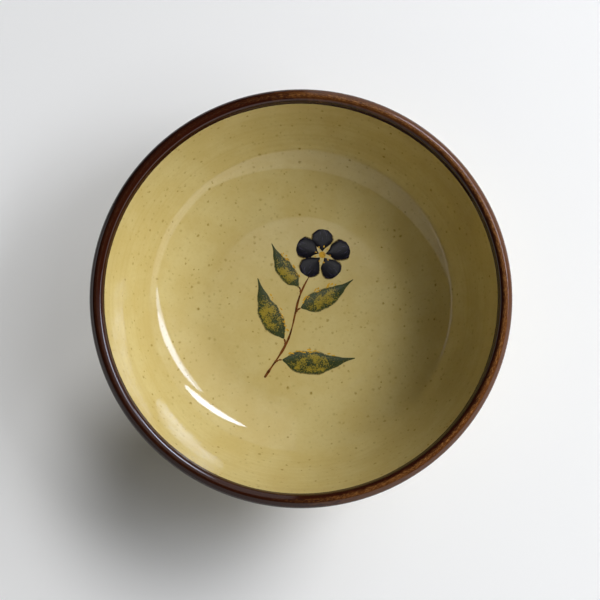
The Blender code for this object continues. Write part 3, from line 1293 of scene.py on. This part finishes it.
# Lamps from a start to an end, as (azimuth from +X towards +Y, height), and their spread, in degrees
Lamp = namedtuple("Lamp", "name start end spread glow tint mirrored")
SKY = (0.68, 0.78, 1.0)
WHITE = (1, 1, 1)
WARM = (1.0, 0.88, 0.5)
LAMPS = (
    Lamp("pane_near", (2, 21.5), (46, 34), 6.5, 6.4, SKY, True),
    Lamp("pane_middle", (12, 23.5), (48, 37), 7.5, 6.4, SKY, True),
    Lamp("pane_far", (41.5, 23.4), (68, 33.1), 7.5, 14, SKY, True),
    Lamp("pane_far_sky", (45, 24.6), (65, 32), 5.0, 9.5, SKY, True),
    Lamp("window_low_near", (0, 25), (30, 25), 12, 7.3, WHITE, False),
    Lamp("window_low_far", (30, 25), (60, 25), 12, 8.3, WHITE, False),
    Lamp("window_high", (0, 38), (30, 38), 14, 12.9, WHITE, False),
    Lamp("window_side", (330, 40), (360, 40), 14, 5.6, WHITE, False),
    Lamp("window_top", (350, 57), (30, 57), 16, 2.5, WHITE, False),
    Lamp("left_bounce", (205, 7), (230, 7), 10, 3.7, WARM, False),
    Lamp("front_room", (225, 40), (275, 40), 20, 0.6, WARM, False),
)


def towards(azimuth, height):
    """Unit vector in a direction given in degrees."""
    turn, rise = radians(azimuth), radians(height)
    return Vector((cos(turn) * cos(rise), sin(turn) * cos(rise), sin(rise)))


def hang_lamp(lamp, reach):
    """Area lamp that faces the lit bend. The panes are only mirrored, and the others only give light."""
    first = LIT_BEND + reach * towards(*lamp.start)
    last = LIT_BEND + reach * towards(*lamp.end)
    middle = first.lerp(last, 0.5)
    light = bpy.data.lights.new(lamp.name, "AREA")
    light.shape = "ELLIPSE" if lamp.mirrored else "RECTANGLE"
    light.color = lamp.tint
    light.size = (last - first).length
    light.size_y = reach * radians(lamp.spread)
    fullness = pi / 4 if lamp.mirrored else 1
    light.energy = lamp.glow * pi * fullness * light.size * light.size_y
    x_axis = (last - first).normalized()
    y_axis = (middle - LIT_BEND).cross(x_axis).normalized()
    z_axis = x_axis.cross(y_axis)
    holder = bpy.data.objects.new(lamp.name, light)
    holder.matrix_world = Matrix.Translation(middle) @ Matrix((x_axis, y_axis, z_axis)).transposed().to_4x4()
    holder.visible_camera = False
    holder.visible_glossy = lamp.mirrored
    holder.visible_diffuse = not lamp.mirrored
    bpy.context.scene.collection.objects.link(holder)


def lay_floor(stage):
    """Pale round floor, lifted a little for the camera so that its shadows stay soft. The lift is smaller
    left of the bowl's near side and gone under its foot, as painted shadow, and larger to the right, as
    painted light.
    """
    mesh = bpy.data.meshes.new("floor")
    corners = 96
    turns = [tau * corner / corners for corner in range(corners)]
    rim = [(FLOOR_REACH * cos(turn), FLOOR_REACH * sin(turn), 0) for turn in turns]
    mesh.from_pydata(rim, [], [range(corners)])
    material, wires, shader, place = open_material("pale_floor")
    shader.inputs["Base Color"].default_value = opaque(stage.floor_colour)
    shader.inputs["Roughness"].default_value = 0.7
    shader.inputs["Specular IOR Level"].default_value = 0.2
    base_lift = 0.045
    far_lift = 0.42
    lift_beyond_painted_shadow = 0.32
    painted_light_on_right = 0.06
    x, y, _ = wires.separate(place)
    span = wires.span(x, y)
    lift = wires.linear(wires.smooth(span, 0.5, 2.5), far_lift, base_lift)
    # Painted shadow: less lift in a spot left of the bowl's near side, where its shadow falls
    beyond_painted_shadow = wires.smooth(wires.span(wires.add(x, 0.055), wires.add(y, 0.085)), 0.022, 0.085)
    lift = wires.linear(beyond_painted_shadow, lift_beyond_painted_shadow, lift)
    # Painted light: more lift towards the right
    lift = wires.linear(wires.smooth(x, -0.12, 0.14), painted_light_on_right, lift)
    # Painted contact shadow: no lift under the bowl
    lift = wires.times(lift, wires.smooth(span, 0.045, 0.088))
    path = wires.node("ShaderNodeLightPath").outputs
    seen = wires.math("MAXIMUM", path["Is Camera Ray"], path["Is Glossy Ray"])
    seen = wires.math("MAXIMUM", seen, path["Is Transmission Ray"])
    shader.inputs["Emission Color"].default_value = (1, 1, 1, 1)
    wires.feed(shader.inputs["Emission Strength"], wires.times(seen, lift))
    mesh.materials.append(material)
    floor = bpy.data.objects.new("floor", mesh)
    bpy.context.scene.collection.objects.link(floor)


def light_world():
    """Plain room, pale to the camera. The glaze mirrors its pale parts: front, right, left and overhead."""
    room_glow = 0.03
    camera_glow = 0.85
    left_glow = 2.1
    ceiling_glow = 0.7
    patch_glow = 0.9
    world = bpy.data.worlds.new("studio")
    world.use_nodes = True
    wires = Wiring(world.node_tree)
    direction = wires.node("ShaderNodeTexCoord").outputs["Generated"]
    x, y, height = wires.separate(direction)
    front = wires.smooth(wires.dot(direction, -towards(70, 50)), 0, 0.03)
    right = wires.times(wires.smooth(height, 0.36, 0.33), wires.smooth(x, 0.1, 0.4))
    right = wires.times(right, wires.linear(wires.smooth(y, -0.15, 0.25), -0.75, 1))
    left = wires.times(wires.smooth(height, 0.25, 0.22), wires.smooth(height, 0.06, 0.10))
    left = wires.times(left, wires.smooth(x, -0.80, -0.92), left_glow)
    low = wires.math("MAXIMUM", wires.math("MAXIMUM", front, right), left)
    low = wires.times(low, wires.linear(wires.smooth(x, -0.5, 1.0), 0.9, 0.48))
    ceiling = wires.times(wires.smooth(x, 0, 0.05), wires.smooth(y, 0.05, 0.35), ceiling_glow)
    patch = wires.times(wires.smooth(y, 0.1345, 0.1395), wires.smooth(y, 0.168, 0.150))
    patch = wires.times(patch, wires.smooth(wires.math("ABSOLUTE", x), 0.036, 0.022))
    patch = wires.times(patch, wires.smooth(height, 0.90, 0.95))
    overhead = wires.linear(patch, patch_glow, ceiling)
    path = wires.node("ShaderNodeLightPath").outputs
    mirrored = wires.times(wires.math("MAXIMUM", low, overhead), path["Is Glossy Ray"])
    seen = wires.math("MAXIMUM", path["Is Camera Ray"], path["Is Transmission Ray"])
    glow = wires.add(mirrored, wires.linear(seen, camera_glow, room_glow))
    background = world.node_tree.nodes["Background"]
    wires.feed(background.inputs["Strength"], glow)
    background.inputs["Color"].default_value = (1, 1, 1, 1)
    bpy.context.scene.world = world


def aim_camera(stage, sizes):
    """Camera above the mouth, tilted to the near side, with the rim a little off the picture's middle."""
    rim_right = 0.0004365
    rim_up = 0.00171
    tilt = stage.camera_elevation
    back = Vector((0, -cos(tilt), sin(tilt)))
    up = Vector((0, sin(tilt), cos(tilt)))
    target = Vector((0, 0, sizes.height - sizes.lip_radius)) - rim_right * Vector((1, 0, 0)) - rim_up * up
    lens = bpy.data.cameras.new("camera")
    lens.lens = stage.lens
    camera = bpy.data.objects.new("camera", lens)
    camera.location = target + stage.camera_distance * back
    camera.rotation_mode = "QUATERNION"
    camera.rotation_quaternion = (-back).to_track_quat("-Z", "Y")
    bpy.context.scene.collection.objects.link(camera)
    bpy.context.scene.camera = camera


class BOWL_OT_stage(bpy.types.Operator):
    """Lay the floor, hang the lamps and aim the camera"""

    bl_idname = "bowl.stage"
    bl_label = "Stage"

    def execute(self, context):
        stage = context.scene.bowl_stage
        lay_floor(stage)
        for lamp in LAMPS:
            hang_lamp(lamp, stage.lamp_reach)
        light_world()
        aim_camera(stage, context.scene.bowl_sizes)
        context.scene.view_settings.view_transform = "Standard"
        return {"FINISHED"}


# Add-on

SETTINGS = {
    "bowl_sizes": BowlSizes,
    "bowl_glaze": GlazeSettings,
    "bowl_sprig": SprigSettings,
    "bowl_stage": StageSettings,
}
STEPS = (
    BOWL_OT_thrown_body,
    BOWL_OT_liner,
    BOWL_OT_outside,
    BOWL_OT_rim_band,
    BOWL_OT_base_disc,
    BOWL_OT_sprig_leaves,
    BOWL_OT_sprig_stems,
    BOWL_OT_sprig_blossom,
    BOWL_OT_stage,
)


class BOWL_PT_sidebar(bpy.types.Panel):
    """Settings of the bowl and the steps that make it"""

    bl_idname = "BOWL_PT_sidebar"
    bl_label = "Coupe Soup Bowl"
    bl_space_type = "VIEW_3D"
    bl_region_type = "UI"
    bl_category = "Soup Bowl"

    def draw(self, context):
        for group, kind in SETTINGS.items():
            box = self.layout.box()
            box.label(text=kind.__doc__)
            for name in kind.__annotations__:
                box.prop(getattr(context.scene, group), name)
        for step in STEPS:
            self.layout.operator(step.bl_idname)


CLASSES = (*SETTINGS.values(), *STEPS, BOWL_PT_sidebar)


def register():
    for item in CLASSES:
        bpy.utils.register_class(item)
    for group, kind in SETTINGS.items():
        setattr(bpy.types.Scene, group, PointerProperty(type=kind))


def unregister():
    for group in SETTINGS:
        delattr(bpy.types.Scene, group)
    for item in reversed(CLASSES):
        bpy.utils.unregister_class(item)


def main():
    register()
    bpy.ops.bowl.thrown_body()
    bpy.ops.bowl.liner()
    bpy.ops.bowl.outside()
    bpy.ops.bowl.rim_band()
    bpy.ops.bowl.base_disc()
    bpy.ops.bowl.sprig_leaves()
    bpy.ops.bowl.sprig_stems()
    bpy.ops.bowl.sprig_blossom()
    bpy.ops.bowl.stage()


if __name__ == "__main__":
    main()
